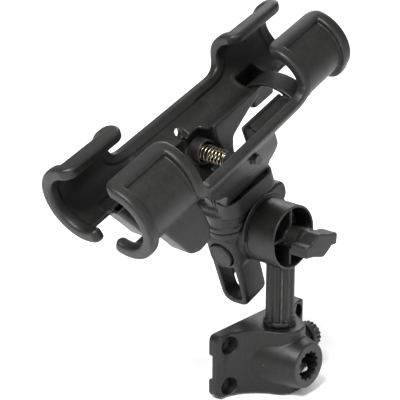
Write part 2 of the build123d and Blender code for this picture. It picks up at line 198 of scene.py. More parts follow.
def relax(verts, quads, rounds=2, share=0.5):
    """Evens out the steps that the grid leaves."""
    for _ in range(rounds):
        total = np.zeros_like(verts)
        hits = np.zeros(len(verts))
        for k in range(4):
            a, b = quads[:, k], quads[:, (k + 1) % 4]
            for column in range(3):
                total[:, column] += np.bincount(a, verts[b, column], len(verts))
                total[:, column] += np.bincount(b, verts[a, column], len(verts))
            hits += np.bincount(a, minlength=len(verts)) + np.bincount(b, minlength=len(verts))
        verts = verts + share * (total / hits[:, None] - verts)
    return verts


def mesh_object(name, verts, quads, place):
    turn = np.array(place)
    verts = verts @ turn[:3, :3].T + turn[:3, 3]
    mesh = bpy.data.meshes.new(name)
    mesh.vertices.add(len(verts))
    mesh.vertices.foreach_set("co", verts.astype(np.float32).ravel())
    mesh.loops.add(quads.size)
    mesh.loops.foreach_set("vertex_index", quads.astype(np.int32).ravel())
    mesh.polygons.add(len(quads))
    mesh.polygons.foreach_set("loop_start", np.arange(0, quads.size, quads.shape[1], dtype=np.int32))
    mesh.update(calc_edges=True)
    mesh.validate()
    mesh.shade_smooth()
    piece = bpy.data.objects.new(name, mesh)
    bpy.context.scene.collection.objects.link(piece)
    return piece


def moulded(name, field, place, bend=None):
    verts, quads = field.quads()
    verts = relax(verts, quads)
    return mesh_object(name, bend(verts) if bend else verts, quads, place)


# ---------------------------------------------------------------- profiles and shapes
def circle(a0, b0, radius):
    return lambda a, b: np.sqrt((a - a0) ** 2 + (b - b0) ** 2) - radius


def plate(a0, a1, b0, b1, corner=1.0):
    def profile(a, b):
        p = np.abs(a - (a0 + a1) / 2) - (a1 - a0) / 2 + corner
        q = np.abs(b - (b0 + b1) / 2) - (b1 - b0) / 2 + corner
        return rim(p, q, corner)
    return profile


def to_line(points, a, b):
    """Distance to an open line of points."""
    best = None
    for (a0, b0), (a1, b1) in zip(points[:-1], points[1:]):
        wa, wb = a1 - a0, b1 - b0
        t = np.clip(((a - a0) * wa + (b - b0) * wb) / max(wa * wa + wb * wb, 1e-9), 0, 1)
        gap = (a - a0 - t * wa) ** 2 + (b - b0 - t * wb) ** 2
        best = gap if best is None else np.minimum(best, gap)
    return np.sqrt(best)


def polygon(points):
    ring = list(points) + [points[0]]

    def profile(a, b):
        inside = np.zeros(np.broadcast(a, b).shape, bool)
        for (a0, b0), (a1, b1) in zip(ring[:-1], ring[1:]):
            if b0 != b1:
                crosses = ((b0 > b) != (b1 > b)) & (a < (a1 - a0) * (b - b0) / (b1 - b0) + a0)
                inside ^= np.broadcast_to(crosses, inside.shape)
        return np.where(inside, -1, 1) * to_line(ring, a, b)
    return profile


def rounded(points, radii, closed=True, steps=6):
    """The outline with an arc of that radius at each corner."""
    out = []
    points = [np.array(p, float) for p in points]
    count = len(points)
    radii = [radii] * count if np.isscalar(radii) else radii
    for i, corner in enumerate(points):
        if not closed and i in (0, count - 1):
            out.append(tuple(corner))
            continue
        back, on = points[i - 1] - corner, points[(i + 1) % count] - corner
        lb, lo = np.linalg.norm(back), np.linalg.norm(on)
        back, on = back / lb, on / lo
        half = np.arccos(np.clip(back @ on, -1, 1)) / 2
        run = min(radii[i] / max(np.tan(half), 1e-6), 0.48 * lb, 0.48 * lo)
        if run < 0.05:
            out.append(tuple(corner))
            continue
        for s in np.linspace(0, 1, steps + 1):
            start, end = corner + back * run, corner + on * run
            out.append(tuple((1 - s) ** 2 * start + 2 * s * (1 - s) * corner + s * s * end))
    return out


def prism(axis, profile, box, t0, t1, edge=1.0):
    """A profile in the other two axes, within box = (a0, a1, b0, b1), from t0 to t1."""
    low, high = [box[0], box[2]], [box[1], box[3]]
    low.insert(axis, t0)
    high.insert(axis, t1)

    def distance(x, y, z):
        others = [x, y, z]
        t = others.pop(axis)
        flat = profile(*others) + edge
        end = np.abs(t - (t0 + t1) / 2) - (t1 - t0) / 2 + edge
        return rim(flat, end, edge)
    return low, high, distance


def disc(axis, a0, b0, radius, t0, t1, edge=1.0):
    box = (a0 - radius, a0 + radius, b0 - radius, b0 + radius)
    return prism(axis, circle(a0, b0, radius), box, t0, t1, edge)


def block(x0, x1, y0, y1, z0, z1, corner=1.5, edge=1.0):
    return prism(2, plate(x0, x1, y0, y1, corner), (x0, x1, y0, y1), z0, z1, edge)


def extrusion(axis, points, t0, t1, edge=1.0):
    a, b = zip(*points)
    return prism(axis, polygon(points), (min(a), max(a), min(b), max(b)), t0, t1, edge)


def cone(axis, a0, b0, t0, r0, t1, r1, edge=1.0):
    """A cone frustum with radius r0 at t0 and r1 at t1, t0 below t1."""
    slope = (r1 - r0) / (t1 - t0)
    lean = 1 / np.sqrt(1 + slope * slope)
    widest = max(r0, r1)
    low, high = [a0 - widest, b0 - widest], [a0 + widest, b0 + widest]
    low.insert(axis, t0)
    high.insert(axis, t1)

    def distance(x, y, z):
        others = [x, y, z]
        t = others.pop(axis)
        away = np.sqrt((others[0] - a0) ** 2 + (others[1] - b0) ** 2)
        side = (away - r0 - slope * (t - t0)) * lean + edge
        end = np.abs(t - (t0 + t1) / 2) - (t1 - t0) / 2 + edge
        return rim(side, end, edge)
    return low, high, distance


def turned(shape, axis, degrees, about):
    """The shape turned about a point, round one of the grid's axes."""
    p, q = (axis + 1) % 3, (axis + 2) % 3
    c, s = cos(radians(degrees)), sin(radians(degrees))
    corners = []
    for i, j, k in CORNERS:
        point = [shape[(i, j, k)[m]][m] for m in range(3)]
        dp, dq = point[p] - about[p], point[q] - about[q]
        point[p], point[q] = about[p] + c * dp - s * dq, about[q] + s * dp + c * dq
        corners.append(point)

    def distance(x, y, z):
        at = [x, y, z]
        dp, dq = at[p] - about[p], at[q] - about[q]
        at[p], at[q] = about[p] + c * dp + s * dq, about[q] - s * dp + c * dq
        return shape[2](*at)
    return np.min(corners, 0), np.max(corners, 0), distance


# ---------------------------------------------------------------- jaws
TROUGH_W = 99.4
TROUGH_V = 20.5
TROUGH_R = 25.5
SHELL_T, SHELL_IN = 3.2, 1.1
RAIL_R, STRIP_DROP = 4.5, 4.2
REAR_U0, REAR_U1 = -105.5, -57.0
FRONT_U0, FRONT_U1 = 65.0, 110.3
TOP_ANGLE = 90
MID_ANGLE = -25
LOW_ANGLE = -78
FOOT_ANGLE = -92
LIP_ANGLE = -107
TIP_ANGLE = -108
LIP_START = {-1: 29, 1: 17}
WEB_FOOT, WEB_HEAD, WEB_HALF_T = (15.3, 42.0), (40.0, 84.0), 1.9
TONGUE_U, TONGUE_HALF_U, TONGUE_HALF_T, TONGUE_R = 75.5, 8, 1.7, 43
NARROWING, NARROW_W, NARROW_REACH = 0.0007, 60, 22
SPRING_U, SPRING_W, SPRING_V0, SPRING_V1, SPRING_R = 9.0, 62.0, -6.0, 18.0, 5.7
EYE_U, EYE_W, EYE_R = 7.0, 73.5, 3.6
EYE_DROP = 1.4
LEFT_EYE_U, LEFT_EYE_W = 2, 78.2


def on_arc(degrees):
    return TROUGH_R * radians(degrees)


def rail_line():
    """The jaw's thick edge, unrolled: u against the way round the trough."""
    top, mid, tip = on_arc(TOP_ANGLE), on_arc(MID_ANGLE), on_arc(TIP_ANGLE)
    corners = [
        (REAR_U0, tip), (REAR_U0, top), (REAR_U1, top), (REAR_U1, mid),
        (FRONT_U0, mid), (FRONT_U0, top), (FRONT_U1, top), (FRONT_U1, tip),
    ]
    return rounded(corners, [0, 5, 5, 15, 17, 5, 5, 0], closed=False)


def wall_outline(start):
    """The jaw's wall, unrolled: the rail's line, closed below by a lip that begins at start."""
    low, foot, lip = on_arc(LOW_ANGLE), on_arc(FOOT_ANGLE), on_arc(LIP_ANGLE)
    below = [
        (FRONT_U1, lip), (start, lip), (start - 1.5, low), (REAR_U1 + 12, low), (REAR_U1 - 2, foot),
        (REAR_U0, foot),
    ]
    return rail_line()[7:-1] + rounded(below, [0, 6, 4, 8, 6, 0], closed=False)


def unrolled(field, side, table_of):
    """A flat field of u and the way round the trough, wrapped on to the grid."""
    u, v, w = field.axis(0), field.axis(1), field.axis(2)
    around = np.linspace(-on_arc(180), on_arc(180), 320)
    table = table_of(u[:, None], around[None, :]).astype(np.float32)
    out, up = side * v[:, None] - TROUGH_V, w[None, :] - TROUGH_W
    at = TROUGH_R * np.arctan2(up, out)
    place = (at - around[0]) / (around[1] - around[0])
    low = np.clip(place.astype(int), 0, len(around) - 2)
    share = (place - low).astype(np.float32)
    return table[:, low] * (1 - share) + table[:, low + 1] * share


def trough_gap(field, side):
    """Distance from the middle of the trough's wall, outwards positive."""
    out = side * field.axis(1)[:, None] - TROUGH_V
    up = field.axis(2)[None, :] - TROUGH_W
    return (np.sqrt(out ** 2 + up ** 2) - TROUGH_R)[None]


def trough_at(side, v, w):
    """Distance to the open inside of the trough."""
    return np.sqrt((side * v - TROUGH_V) ** 2 + (w - TROUGH_W) ** 2) - (TROUGH_R - SHELL_IN - SHELL_T / 2)


def curved_plate(flat, gap, thickness, edge):
    return rim(flat + edge, np.abs(gap) - thickness / 2 + edge, edge)


def trough_walls(field, side):
    gap = trough_gap(field, side)
    outline = unrolled(field, side, polygon(wall_outline(LIP_START[side])))
    line = rail_line()
    strip = on_arc(TOP_ANGLE) - STRIP_DROP
    lines = [line, [(REAR_U0, strip), (REAR_U1, strip)], [(FRONT_U0, strip), (FRONT_U1, strip)]]
    rail = unrolled(field, side, lambda a, b: np.minimum.reduce([to_line(way, a, b) for way in lines]))
    wall = curved_plate(outline, gap + SHELL_IN, SHELL_T, 1.2)
    bar = (rail ** 4 + np.abs(gap) ** 4) ** 0.25 - RAIL_R
    field.d = smooth_min(wall, bar, 0.5).astype(np.float32)


def slanted(side, foot, head):
    """Splits v and w into the climb along a line from foot to head, and the distance off it."""
    way = np.array(head, float) - np.array(foot, float)
    way = way / np.hypot(*way)

    def split(v, w):
        out = side * v - foot[0]
        up = w - foot[1]
        return out * way[0] + up * way[1], out * way[1] - up * way[0]
    return split


def web(side):
    """The plate from the trough down into the tray, with its front ear."""
    split = slanted(side, WEB_FOOT, WEB_HEAD)
    heel, heel_climb = (-14, -1) if side < 0 else (-7, -4)
    outline = rounded(
        [(-38, 50), (-44, 36), (-30, 24), (-17, 15), (heel, 1), (heel, heel_climb), (32, -4), (31.5, 11),
         (34.5, 18), (36, 28), (33, 38), (27, 50)],
        [3, 10, 12, 10, 5, 2, 2, 6, 4, 6, 8, 3],
    )
    profile = polygon(outline)

    def distance(x, y, z):
        climb, away = split(y, z)
        return rim(profile(x, climb) + 1.0, np.abs(away) - WEB_HALF_T + 1.0, 1.0)
    low, high = sorted((side * 9, side * 48))
    return (-45, low, 36), (60, high, 92), distance


def gusset(side):
    """The upright plate inside the jaw, below the lip of the front trough."""
    back = 24 if side < 0 else 17
    outline = [
        (24, 44), (29.5, 44), (31, 54), (33.5, 61), (44, 65.5), (67, 74), (67, 79), (back, 79), (back, 68),
    ]
    low, high = sorted((side * 10.4, side * (13.4 if side < 0 else 15.0)))
    return extrusion(1, rounded(outline, [2, 2, 4, 6, 8, 3, 1, 1, 4]), low, high, 0.8)


def pocket(side, grow):
    """The closed box that takes the other jaw's strap, under the front trough."""
    low, high = sorted((side * (18.0 - grow), side * (35.6 + grow)))
    return block(66.2 - grow, 86.4 + grow, low, high, 63.4 - grow, 90, 2 + grow, 0.8)


def keel(side, grow):
    """The hollow box below the rear trough: the solid, or what is taken out of it."""
    outline = [
        (-86, 80), (-72, 54), (-65.5, 41), (-57, 37.5), (-45, 39.5), (-42, 50), (-44, 66), (-50, 80),
    ]
    profile = polygon(rounded(outline, [3, 12, 8, 8, 7, 10, 10, 3]))
    low, high = sorted((side * 9, side * 30))
    box = (-88, -38, 36, 82)
    edge = 3.2 if grow == 0 else 1.0
    return prism(1, lambda a, b: profile(a, b) - grow, box, low - grow, high + grow, edge)


def knuckle(side, start, length):
    return disc(0, 0, HINGE_W, 5.5, start, start + length, 0.6)


def knuckle_arm(side, start, length):
    points = [
        (0, HINGE_W + 4.5), (0, HINGE_W), (side * 4.5, HINGE_W - 2), (side * 13.5, 44.5), (side * 12, 52),
    ]
    return extrusion(0, points[::-1] if side > 0 else points, start, start + length, 0.5)


def tongue(field):
    """The strap that crosses to the other jaw, bowed about the hinge pin."""
    line = []
    for step in range(17):
        angle = radians(-37 + 73 * step / 16)
        line.append((TONGUE_R * sin(angle), HINGE_W + TONGUE_R * cos(angle)))

    def distance(x, y, z):
        strip = to_line(line, y, z) - TONGUE_HALF_T + 0.8
        end = np.abs(x - TONGUE_U) - TONGUE_HALF_U + 0.8
        return rim(strip, end, 0.8)
    field.add(((66, -30, 70), (85, 30, 86), distance), 1.5)


def narrowed(verts):
    """Draws the cradle in towards its front end, above the spring."""
    share = np.clip((verts[:, 2] - NARROW_W) / NARROW_REACH, 0, 1)
    share = share * share * (3 - 2 * share)
    drawn = share * NARROWING * (verts[:, 0] - REAR_U0)
    out = verts.copy()
    out[:, 1] -= drawn * verts[:, 1]
    out[:, 2] -= drawn * (verts[:, 2] - TROUGH_W)
    return out


def jaw(side):
    name = "right_jaw" if side < 0 else "left_jaw"
    reach = (-52, 29) if side < 0 else (-1, 52)
    room = (-111, reach[0], 32), (116, reach[1], 131)
    field = Field(*room, FINE)
    trough_walls(field, side)
    field.add(web(side), 5.0)
    field.add(gusset(side), 1.6)
    body = Field(*room, FINE)
    body.add(keel(side, 0), 0)
    body.cut(((-90, -52, 30), (-20, 52, 90), lambda x, y, z: trough_at(side, y, z)), 0.5)
    inner = keel(side, -2.6)
    body.cut((inner[0], np.array(inner[1]) + (0, 0, 20), inner[2]), 1.0)
    field.d = smooth_min(field.d, body.d, 2.2)
    if side < 0:
        end = rounded([(-7.4, 42), (-7.4, 55), (-20, 70), (-33, 72), (-15.5, 42)], [1, 6, 8, 3, 1])
        field.add(extrusion(0, end, -14.6, -11.6, 0.8), 2.5)
        starts = ((-3.6, 8.6), (14.0, 8.0))
    else:
        starts = ((5.6, 7.8), (22.6, 5.4))
    for start, length in starts:
        field.add(knuckle_arm(side, start, length), 1.0)
        field.add(knuckle(side, start, length), 0.8)
    if side < 0:
        field.add(disc(1, SPRING_U, SPRING_W, 6.4, -26, SPRING_V0, 0.8), 2.5)
        field.add(disc(1, SPRING_U, SPRING_W, 3.0, SPRING_V0 - 2, SPRING_V0 + 7, 1.2), 0.6)
        tongue(field)
        field.cut(disc(1, EYE_U, EYE_W - EYE_DROP, EYE_R, -60, -28, 0.5), 0.6)
    else:
        field.add(disc(1, SPRING_U, SPRING_W, 8.8, SPRING_V1 - 3, 26, 0.8), 2.5)
        field.cut(disc(1, SPRING_U, SPRING_W, 7.5, 0, SPRING_V1, 0.3), 0.5)
        field.cut(disc(1, LEFT_EYE_U, LEFT_EYE_W, EYE_R, 18, 70, 0.5), 0.6)
        box = Field((60, 14, 58), (92, 42, 92), FINE)
        box.add(pocket(side, 1.8), 0)
        box.cut(((60, 10, 60), (92, 46, 92), lambda x, y, z: trough_at(side, y, z)), 0.4)
        merge(field, box, 1.4)
        hollow = pocket(side, 0)
        field.cut((hollow[0], hollow[1], lambda x, y, z: np.maximum(hollow[2](x, y, z), z - 84)), 0.6)
    field.cut(disc(0, 0, HINGE_W, 2.6, -30, 50, 0.3), 0.3)
    piece = moulded(name + "_moulded", field, HEAD, narrowed)
    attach(piece, name)
    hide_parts(name)
    return piece


# ---------------------------------------------------------------- head tray
TRAY_U0, TRAY_U1, TRAY_HALF_V, TRAY_W0, TRAY_W1 = -15.0, 37.0, 21.0, 27.5, 41.0
SWIVEL_R, SWIVEL_W = 18.0, 13.0


def head_tray():
    field = Field((-20, -22, 12), (38, 22, 47), FINE * 0.8)
    box = (TRAY_U0, TRAY_U1, -TRAY_HALF_V, TRAY_HALF_V)
    outer = plate(*box, 10)
    field.add(prism(2, outer, box, TRAY_W0, TRAY_W1, 1.6), 0)
    field.add(prism(2, outer, box, TRAY_W1 - 1.6, TRAY_W1, 0.7), 0.4)
    field.add(cone(2, 0, 0, SWIVEL_W + 4, SWIVEL_R - 1.6, TRAY_W0 + 1, SWIVEL_R - 0.2, 0.5), 2.5)
    field.add(disc(2, 0, 0, SWIVEL_R, SWIVEL_W + 0.3, SWIVEL_W + 4.6, 1.1), 1.0)
    inner = plate(TRAY_U0 + 2.6, TRAY_U1 - 2.6, 2.6 - TRAY_HALF_V, TRAY_HALF_V - 2.6, 7.4)
    field.cut(prism(2, inner, box, TRAY_W0 + 3, TRAY_W1 + 9, 1.2), 0.6)
    sill = rounded([(-30, 60), (-30, 33), (-9, 33), (-6.5, 36), (-6.5, 60)], [2, 2, 3, 3, 2])
    field.cut(extrusion(1, sill, -7, 30, 0.5), 1.0)
    for u in (-12.6, 33.4):
        field.add(block(u, u + 3.6, -6.5, 6.5, TRAY_W0 + 1, HINGE_W, 0.6, 0.5), 1.4)
        field.add(disc(0, 0, HINGE_W, 6.5, u, u + 3.6, 0.8), 0.8)
    for v in (-1, 1):
        field.add(block(-8, 31, v * 14 - 0.8, v * 14 + 0.8, TRAY_W0 + 2, TRAY_W0 + 6, 0.5, 0.4), 1.2)
    field.cut(disc(0, 0, HINGE_W, 2.55, TRAY_U0 - 1, TRAY_U1 + 1, 0.2), 0.3)
    field.cut(disc(2, 0, 0, 4.4, 0, TRAY_W0 + 9, 0.3), 0.3)
    piece = moulded("tray_moulded", field, HEAD)
    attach(piece, "head")
    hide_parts(*[n for n in ("head_tray", "swivel_boss") if n in frame["nodes"]])
    return piece


# ---------------------------------------------------------------- ratchet arm
LOOP_U0, LOOP_U1, LOOP_HALF_V, LOOP_BOTTOM = -30.0, -7.0, 13.0, -54.0
BUTTON_W, BUTTON_R, BUTTON_HOLE_R = -6.3, 9.4, 10.2
SEAM_V = -20.0
TEETH = 24


def face_teeth(field, face, way):
    """Radial teeth that stand up from a ring face, along v."""
    def distance(x, y, z):
        angle = np.arctan2(z, x) * TEETH
        away = np.sqrt(x ** 2 + z ** 2)
        crest = face + way * (0.35 + 0.5 * np.cos(angle))
        return np.maximum(np.maximum(way * (y - crest), 12 - away), away - 20) * 0.8
    low, high = sorted((face - way * 2, face + way * 2))
    field.add(((-20, low, -20), (20, high, 20), distance), 0)


def ratchet_arm():
    field = Field((-34, -21, -56), (41, 15, 28), FINE * 0.85)
    outline = rounded(
        [(-LOOP_HALF_V, 7), (LOOP_HALF_V, 7), (LOOP_HALF_V, -14), (12.6, LOOP_BOTTOM), (-11.4, LOOP_BOTTOM),
         (-LOOP_HALF_V, -14)],
        [4, 4, 10, 10, 10, 10],
    )
    field.add(extrusion(0, outline, LOOP_U0, LOOP_U1, 2.2), 0)
    field.add(disc(1, 0, 0, 22, SEAM_V + 0.15, 12, 2.5), 3.0)
    field.add(disc(1, 0, 0, 23.4, SEAM_V + 0.15, SEAM_V + 5.5, 0.7), 1.5)
    field.add(block(LOOP_U0, 7, -LOOP_HALF_V, LOOP_HALF_V, -14, 9, 6, 2), 4.0)
    flange = disc(1, 0, 0, 26.6, SEAM_V + 0.15, SEAM_V + 1.8, 0.7)
    field.add((flange[0], flange[1], lambda x, y, z: np.maximum(flange[2](x, y, z), 6 - z)), 1.4)
    lug = rounded([(8, -2), (39, -2), (39, 15), (8, 15)], [2, 10, 10, 2])
    field.add(extrusion(1, lug, -10, 0, 1.5), 2.5)
    field.cut(disc(2, SWIVEL_U, 0, SWIVEL_R + 0.8, SWIVEL_W, 60, 0.2), 0.4)
    field.cut(block(-60, 60, -60, 60, 26.9, 60), 0.4)
    heel = plate(LOOP_U0 - 30, LOOP_U1, LOOP_BOTTOM, 60, 9.5)
    field.cut(prism(1, lambda a, b: -heel(a, b), (-17, LOOP_U1 + 2, LOOP_BOTTOM - 2, -42), -30, 30, 0), 1.6)
    field.add(disc(2, SWIVEL_U, 0, SWIVEL_R, SWIVEL_W - 4.2, SWIVEL_W, 1.0), 1.6)
    field.cut(disc(1, 0, 0, 21, SEAM_V - 4, SEAM_V + 1.75, 0.2), 0)
    face_teeth(field, SEAM_V + 1.75, -1)
    field.add(disc(1, 0, 0, 10, SEAM_V + 0.15, SEAM_V + 4, 0.4), 0.4)
    field.cut(disc(1, 0, 0, 7.2, SEAM_V - 3, SEAM_V + 3.4, 0.2), 0.3)
    field.cut(disc(1, 0, 0, 4.4, -30, 30, 0.2), 0.3)
    nut = [(7.8 * cos(radians(60 * k + 30)), 7.8 * sin(radians(60 * k + 30))) for k in range(6)]
    field.cut(extrusion(1, nut, 4, 30, 0.2), 0.4)
    low = LOOP_BOTTOM + 5.5
    slot = rounded([(-7.4, BUTTON_W), (7.4, BUTTON_W), (7.6, low), (-6.8, low)], [0, 0, 6, 6])
    field.cut(extrusion(0, slot, LOOP_U0 - 6, LOOP_U0 + 12, 0.4), 1.0)
    deep = rounded([(-7.1, -19), (7.1, -19), (7.6, low), (-6.8, low)], [3, 3, 6, 6])
    field.cut(extrusion(0, deep, LOOP_U0 - 6, LOOP_U1 + 6, 0.4), 1.0)
    field.cut(block(LOOP_U0 + 13, LOOP_U1 + 4, 3, 20, LOOP_BOTTOM - 9, -37), 1.2)
    field.add(disc(0, 0, BUTTON_W, BUTTON_HOLE_R + 2.2, LOOP_U0, LOOP_U0 + 9, 0.9), 1.2)
    field.cut(disc(0, 0, BUTTON_W, BUTTON_HOLE_R, LOOP_U0 - 9, LOOP_U0 + 8, 0.3), 0.6)
    field.cut(disc(0, 0, BUTTON_W, 3.3, LOOP_U0, LOOP_U0 + 13, 0.2), 0.3)
    field.cut(disc(2, SWIVEL_U, 0, 4.05, 1, 30, 0.2), 0.3)
    piece = moulded("arm_moulded", field, ARM)
    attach(piece, "arm")
    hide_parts("ratchet_arm")
    return piece


def release_button():
    step = FINE * 0.6
    u = LOOP_U0
    field = Field((u - 5, -10, BUTTON_W - 10), (u + 10, 10, BUTTON_W + 10), step)
    field.add(disc(0, 0, BUTTON_W, BUTTON_R, u - 3.0, u + 3.4, 0.9), 0)
    field.cut(disc(0, 0, BUTTON_W, 7.6, u - 8, u - 2.5, 0.3), 0.4)
    field.add(disc(0, 0, BUTTON_W, 6.6, u - 2.8, u - 1.7, 0.5), 0.3)
    field.add(disc(0, 0, BUTTON_W, 3.0, u + 2, u + 9.4, 0.5), 0.8)
    piece = moulded("button_moulded", field, ARM)
    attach(piece, "button")
    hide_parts("release_button")
    return piece


# ---------------------------------------------------------------- post and knobs
POST_Y, POST_R, POST_FOOT, PLATE_TOP, PLATE_BOTTOM = -24.8, 10.4, -20.0, 24.0, -25.0
AXIS_Z, DRUM_R, DRUM_FRONT, SEAM_Y, POCKET_R, POCKET_FLOOR = 92.5, 23.4, -36.0, -12.0, 21.6, -20.0
FLUTES = 12


def fluted(radius, at, groove, y0):
    """Twelve grooves, or ribs in a bore, round a circle."""
    def profile(a, b):
        away = np.sqrt(a ** 2 + (b - y0) ** 2)
        turn = 2 * pi / FLUTES
        angle = (np.arctan2(b - y0, a) + turn / 2) % turn - turn / 2
        near = np.sqrt((away * np.cos(angle) - at) ** 2 + (away * np.sin(angle)) ** 2) - groove
        return -smooth_min(-(away - radius), near, 0.5)
    return profile


def post():
    field = Field((-25, -37, POST_FOOT), (25, -11, AXIS_Z + 25), FINE * 0.8)
    box = (-POST_R, POST_R, POST_Y - POST_R, POST_Y + POST_R)
    field.add(prism(2, fluted(POST_R, 10.7, 1.9, POST_Y), box, POST_FOOT, AXIS_Z - 15, 0.5), 0)
    field.add(disc(2, 0, POST_Y, 12.0, PLATE_TOP, PLATE_TOP + 4, 1.2), 1.0)
    field.cut(block(-3.6, 3.6, POST_Y - 14, POST_Y - 9.4, PLATE_TOP + 0.8, PLATE_TOP + 5.5, 1, 0.4), 0.5)
    field.cut(block(-13, -9.4, POST_Y - 2, POST_Y + 2, PLATE_TOP + 0.8, PLATE_TOP + 5.5, 1, 0.4), 0.5)
    field.add(disc(1, 0, AXIS_Z, DRUM_R, DRUM_FRONT, SEAM_Y - 0.15, 0.5), 1.8)
    field.cut(disc(1, 0, AXIS_Z, POCKET_R, DRUM_FRONT - 9, POCKET_FLOOR, 1.2), 0.3)
    for turn in (0, 1):
        half = (1.1, 22) if turn else (22, 1.1)
        low, high = AXIS_Z - half[1], AXIS_Z + half[1]
        field.add(block(-half[0], half[0], -33.5, POCKET_FLOOR + 1, low, high, 0.4, 0.5), 1.2)
    field.add(cone(1, 0, AXIS_Z, -34, 7.4, POCKET_FLOOR + 1, 8.6, 0.7), 1.4)
    back = SEAM_Y - 0.15
    field.cut(disc(1, 0, AXIS_Z, 21, back - 1.7, back + 5, 0.2), 0)
    field.add(disc(1, 0, AXIS_Z, 10, back - 3, back, 0.3), 0.3)
    field.cut(disc(1, 0, AXIS_Z, 7.2, back - 4, back + 4, 0.2), 0.2)
    field.cut(disc(1, 0, AXIS_Z, 4.4, -45, 0, 0.2), 0.3)
    piece = moulded("post_moulded", field, WORLD)
    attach(piece, "post")
    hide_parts("post_ratchet_half")
    return piece


KNOB_FACE, KNOB_BACK = -61.0, -47.0


def clamp_knob():
    """A round stem with an S-shaped wing across its end."""
    field = Field((-21, -63, AXIS_Z - 12), (21, -34, AXIS_Z + 12), FINE * 0.7)
    about = (0, 0, AXIS_Z)
    wing = []
    for side in (1, -1):
        wing += [
            (side * 3.4, side * -9.2), (side * 8.6, side * -5.4), (side * 12, side * -2.2),
            (side * 17.6, side * -2.2), (side * 17.8, side * 6.4), (side * 8.5, side * 6.8),
        ]
    points = rounded([(x, AXIS_Z + z) for x, z in wing], [3.5, 4, 3, 1.6, 2.2, 4] * 2)
    field.add(turned(extrusion(1, points, KNOB_FACE, KNOB_BACK, 1.0), 1, 4.5, about), 0)
    field.add(cone(1, 0, AXIS_Z, -49, 9.3, -35.0, 8.6, 0.8), 2.0)
    field.cut(disc(1, 0, AXIS_Z, 4.0, -49.5, -30, 0.2), 0.2)
    piece = moulded("clamp_knob_moulded", field, WORLD)
    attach(piece, "clamp")
    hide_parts("clamp_knob")
    return piece


LOCK_Z, LOCK_BOSS_END = 3.0, 27.0


def lock_knob():
    start = LOCK_BOSS_END + 0.5
    field = Field((start, POST_Y - 15, LOCK_Z - 15), (start + 12, POST_Y + 15, LOCK_Z + 15), FINE * 0.7)
    count = 18

    def lobed(a, b):
        away = np.sqrt((a - POST_Y) ** 2 + (b - LOCK_Z) ** 2)
        angle = np.arctan2(b - LOCK_Z, a - POST_Y)
        return away - 9.8 - 0.5 * np.cos(count * angle)
    box = (POST_Y - 12, POST_Y + 12, LOCK_Z - 12, LOCK_Z + 12)
    field.add(prism(0, lobed, box, start, start + 10, 0.6), 0)
    field.add(disc(0, POST_Y, LOCK_Z, 11.6, start, start + 3.4, 1.0), 0.8)
    field.cut(disc(0, POST_Y, LOCK_Z, 7.2, start + 9, start + 20, 0.3), 0.6)
    field.cut(disc(0, POST_Y, LOCK_Z, 3.02, start - 5, start + 6, 0.2), 0.2)
    piece = moulded("lock_knob_moulded", field, WORLD)
    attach(piece, "post_lock")
    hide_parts("post_lock_knob")
    return piece


# ---------------------------------------------------------------- wall bracket
PLATE_HALF_W = 50.0
HOLES = [(x, z) for x in (-39.5, 39.5) for z in (-17.0, 15.0)]
SOCKET_Z, SOCKET_MOUTH = -2.0, -52.2


def bracket_plan():
    """The bracket seen from above: a plate that sweeps forward into the post tower."""
    half = [
        (PLATE_HALF_W, -0.0), (PLATE_HALF_W, -9.4), (40, -10.4), (30, -15), (23, -21.5), (17.5, -29),
        (14, -37), (8, -42.5), (0, -44),
    ]
    left = [(-x, y) for x, y in half[::-1]][1:]
    return rounded(half + left, [1.5, 5, 12, 14, 12, 12, 10, 8, 10, 8, 10, 12, 12, 14, 12, 5, 1.5])


